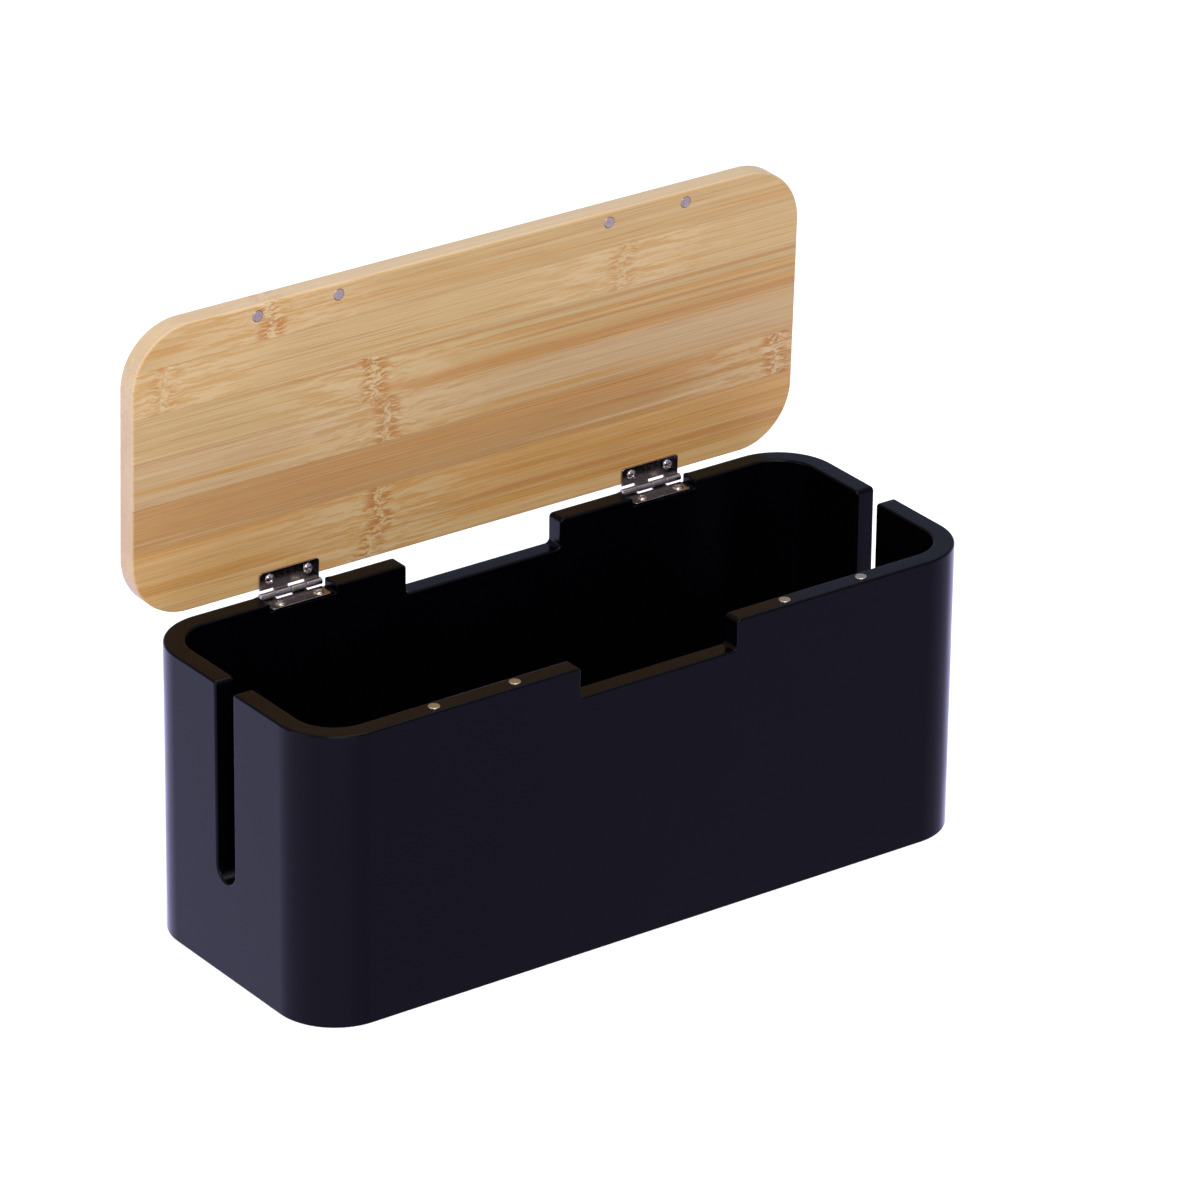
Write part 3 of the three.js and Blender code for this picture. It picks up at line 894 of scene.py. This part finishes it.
# ---- Studio and camera -------------------------------------------------------------------------

# The camera, solved from the photo: degrees, then metres, then the lens in millimetres
CAMERA_AZIMUTH = math.radians(-36.109)
CAMERA_ELEVATION = math.radians(25.365)
CAMERA_ROLL = math.radians(0.705)
CAMERA_DISTANCE = 3.091
CAMERA_OFFSET = (0.01507, 0.05364)
CAMERA_LENS = 225.79

# The world that reflections see, and the plainer light that matt surfaces get
BEHIND = (0.3, 0.95, 0)
TABLE_BEFORE = (0.98, 0.87, 1.5, 1)
TABLE_LEFT = (1.64, 1.46, 2.48, 1)
TABLE_BEHIND = (1.6, 1.57, 2.56, 1)
TABLE_BELOW = (0.35, 0.34, 0.42, 1)
ROOM = (0.43, 0.48, 0.7, 1)
CEILING = (1.1, 1.1, 1.2, 1)
SOFT_BELOW = (0.95, 0.94, 0.98, 1)
SOFT_ABOVE = (0.42, 0.43, 0.46, 1)
WHITE = (1, 1, 1, 1)

# The floor's half width, and how far it lies below the box
FLOOR_REACH = 30
FLOOR_DROP = 0.0002


def make_camera():
    """Looks at the middle of the body from the front left, a little above."""
    azimuth, elevation = CAMERA_AZIMUTH, CAMERA_ELEVATION
    level = math.cos(elevation)
    back = Vector((math.sin(azimuth) * level, -math.cos(azimuth) * level, math.sin(elevation)))
    right = Vector((math.cos(azimuth), math.sin(azimuth), 0))
    up = back.cross(right)
    axes = Matrix((right, up, back)).transposed() @ Matrix.Rotation(CAMERA_ROLL, 3, "Z")
    shift = axes @ Vector((*CAMERA_OFFSET, CAMERA_DISTANCE))
    data = bpy.data.cameras.new("camera")
    data.lens = CAMERA_LENS
    data.sensor_width = 36
    data.clip_end = 100
    camera = bpy.data.objects.new("camera", data)
    middle = Vector((0, 0, HEIGHT * MM / 2))
    camera.matrix_world = Matrix.Translation(middle + shift) @ axes.to_4x4()
    bpy.context.scene.collection.objects.link(camera)
    bpy.context.scene.camera = camera


def make_softbox(name, position, target, size, power):
    """A rectangular light that faces its target and isn't seen itself."""
    data = bpy.data.lights.new(name, "AREA")
    data.shape = "RECTANGLE"
    data.size, data.size_y = size
    data.energy = power
    light = bpy.data.objects.new(name, data)
    light.location = position
    aim = Vector(target) - Vector(position)
    light.rotation_mode = "QUATERNION"
    light.rotation_quaternion = aim.to_track_quat("-Z", "Y")
    light.visible_camera = False
    bpy.context.scene.collection.objects.link(light)


def make_floor():
    """A pale floor for the camera. The world's lower half stands for it in reflections."""
    solid = bmesh.new()
    corners = ((-1, -1), (1, -1), (1, 1), (-1, 1))
    solid.faces.new([solid.verts.new((x * FLOOR_REACH, y * FLOOR_REACH, 0)) for x, y in corners])
    mesh = bpy.data.meshes.new("floor")
    solid.to_mesh(mesh)
    solid.free()
    floor = bpy.data.objects.new("floor", mesh)
    floor.location.z = -FLOOR_DROP
    bpy.context.scene.collection.objects.link(floor)
    material = bpy.data.materials.new("pale_floor")
    material.use_nodes = True
    shader = material.node_tree.nodes["Principled BSDF"]
    shader.inputs["Base Color"].default_value = srgb(240, 240, 242)
    shader.inputs["Roughness"].default_value = 0.9
    shader.inputs["Specular IOR Level"].default_value = 0.0
    shader.inputs["Emission Color"].default_value = WHITE
    shader.inputs["Emission Strength"].default_value = 0.5
    mesh.materials.append(material)
    floor.visible_glossy = False
    floor.visible_diffuse = False
    floor.visible_shadow = False


def make_world():
    """White to the camera. In reflections, a bright table, a dimmer room and a pale ceiling."""
    world = bpy.data.worlds.new("studio")
    bpy.context.scene.world = world
    world.use_nodes = True
    nodes = Nodes(world.node_tree)
    direction = nodes.add("ShaderNodeTexCoord", {}).outputs["Generated"]
    sideways, _, height = nodes.add("ShaderNodeSeparateXYZ", {0: direction}).outputs
    towards = nodes.add("ShaderNodeVectorMath", {0: direction, 1: BEHIND}, operation="DOT_PRODUCT")
    behind = nodes.between(towards.outputs["Value"], 0.25, 0.6)
    table = nodes.mix(nodes.between(sideways, 0.45, -0.4), TABLE_BEFORE, TABLE_LEFT)
    table = nodes.mix(behind, table, TABLE_BEHIND)
    table = nodes.mix(nodes.between(height, -0.6, -0.9), table, TABLE_BELOW)
    room = nodes.mix(nodes.between(height, 0.6, 0.95), ROOM, CEILING)
    above = nodes.between(height, -0.12, 0.12)
    ray = nodes.add("ShaderNodeLightPath", {}).outputs
    soft = nodes.mix(above, SOFT_BELOW, SOFT_ABOVE)
    colour = nodes.mix(ray["Is Glossy Ray"], soft, nodes.mix(above, table, room))
    background = world.node_tree.nodes["Background"]
    nodes.feed(background.inputs["Color"], nodes.mix(ray["Is Camera Ray"], colour, WHITE))


def make_studio():
    """A big soft key from the front left, fill from the left and above, and a small front light."""
    make_softbox("key", (-0.9, -1.5, 1.5), (0, 0, 0.12), (1.0, 1.0), 30)
    make_softbox("left", (-1.8, 0.1, 0.7), (0, 0, 0.12), (0.8, 1.0), 8.3)
    make_softbox("top", (0.3, -0.1, 1.7), (0, 0, 0), (1.2, 0.8), 9)
    make_softbox("spark", (-0.25, -2.4, 0.55), (0, 0, 0.15), (0.35, 0.35), 5)
    make_world()
    make_floor()
    bpy.context.scene.view_settings.view_transform = "Standard"


looks = {
    "body_black": black_lacquer(),
    "bamboo": bamboo(),
    "hinge_nickel": nickel("hinge_nickel", srgb(154, 143, 134), srgb(110, 96, 84), 0.12, 0.5),
    "screw_nickel": nickel("screw_nickel", srgb(175, 166, 157), srgb(127, 114, 104), 0.1, 0.3),
    "magnet_nickel": nickel("magnet_nickel", srgb(173, 163, 140), srgb(128, 119, 105), 0.24, 0.5),
}
make_camera()
build_body()
build_lid()
build_magnets()
build_hinges()
make_studio()
